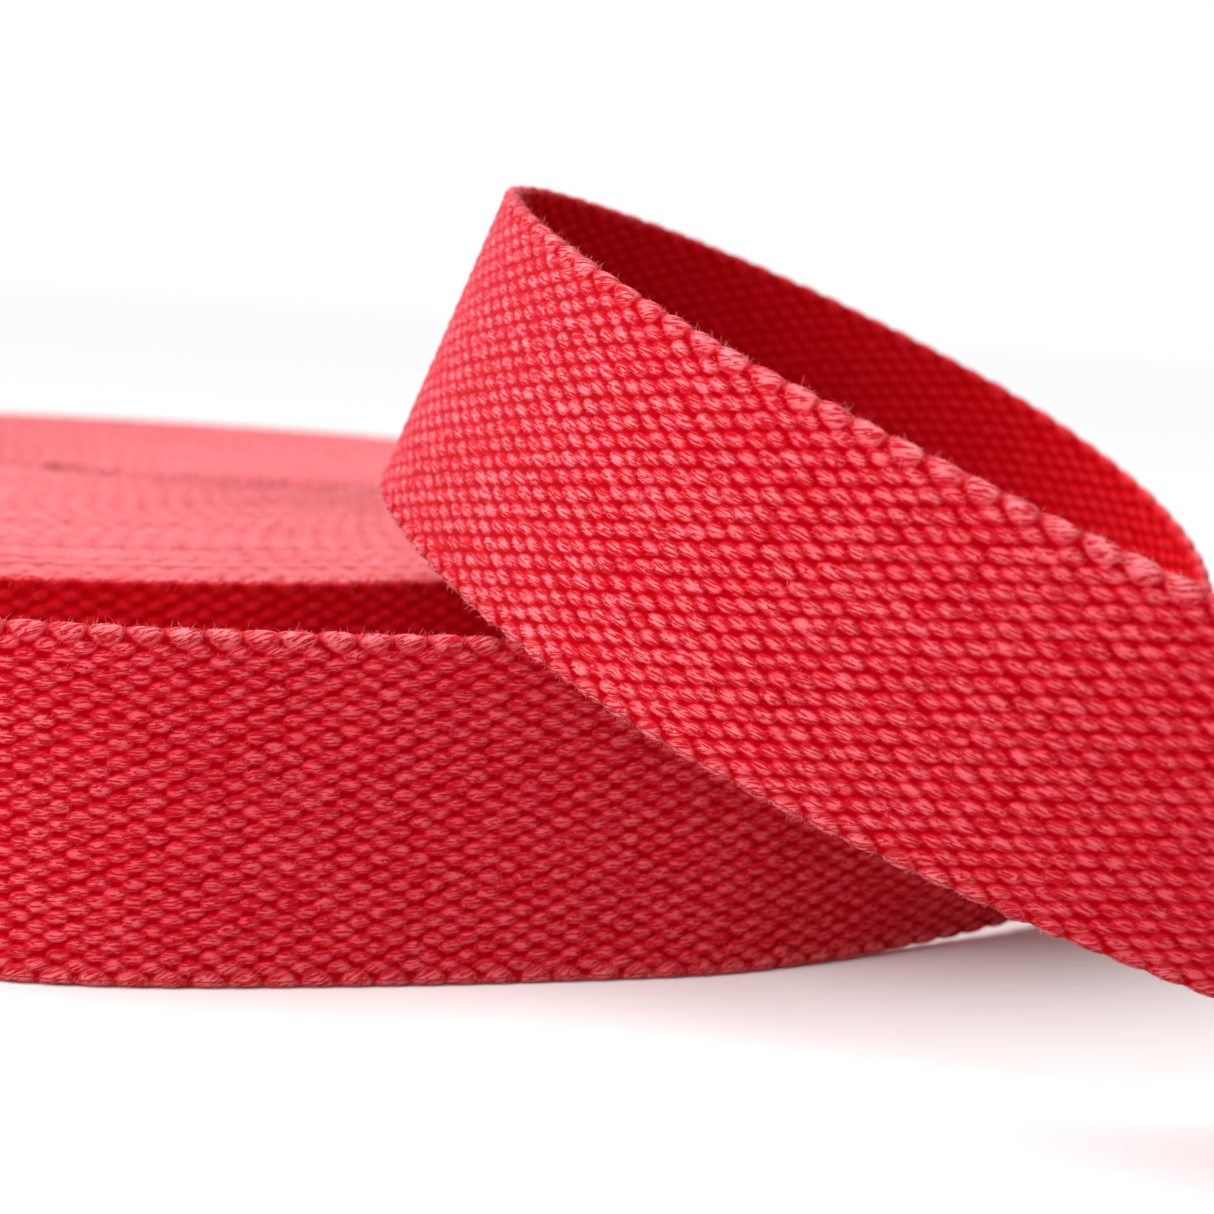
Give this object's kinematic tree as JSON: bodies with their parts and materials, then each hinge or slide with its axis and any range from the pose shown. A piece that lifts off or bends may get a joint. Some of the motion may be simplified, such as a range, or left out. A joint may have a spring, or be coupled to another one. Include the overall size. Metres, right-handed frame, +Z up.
{
  "type": "webbing roll",
  "caption": "Flat roll of heavy woven cotton webbing on a small core, its outer turn pulled loose into a raised, doubled-back loop.",
  "frame": {"origin": "on the core's axis, at the table the roll lies on", "axes": "+Z up along the core's axis, -Y towards the loose turn, +X towards the free tail"},
  "size_m": [0.4108, 0.3371, 0.0871],
  "materials": {
    "webbing": "heavy woven cotton, matt, slightly fuzzy",
    "paperboard": "wound paperboard, matt",
    "gummed_paper": "gummed paper tape, matt"
  },
  "bodies": {
    "roll": {"core_tube": "paperboard", "starter_tape": "gummed_paper", "wound_coil": "webbing"},
    "loose_turn": {"loose_turn": "webbing"},
    "raised_loop": {"raised_loop": "webbing"},
    "front_band": {"front_band": "webbing"},
    "free_tail": {"free_tail": "webbing"}
  },
  "joints": [
    {"name": "turn_swing", "type": "hinge", "parent": "roll", "child": "loose_turn", "pos_m": [-0.07326, -0.11724, 0.0191], "axis": [0, 0, 1], "range_deg": [-20, 0]},
    {"name": "loop_swing", "type": "hinge", "parent": "loose_turn", "child": "raised_loop", "pos_m": [0.16847, -0.109, 0.02478], "axis": [0, 0, 1], "range_deg": [0, 15]},
    {"name": "loop_open", "type": "hinge", "parent": "raised_loop", "child": "front_band", "pos_m": [0.07807, -0.12446, 0.06835], "axis": [0, 0, 1], "range_deg": [-15, 0]},
    {"name": "tail_flex", "type": "hinge", "parent": "front_band", "child": "free_tail", "pos_m": [0.22801, -0.1674, 0.01927], "axis": [0, 0, 1], "range_deg": [-30, 30]}
  ]
}
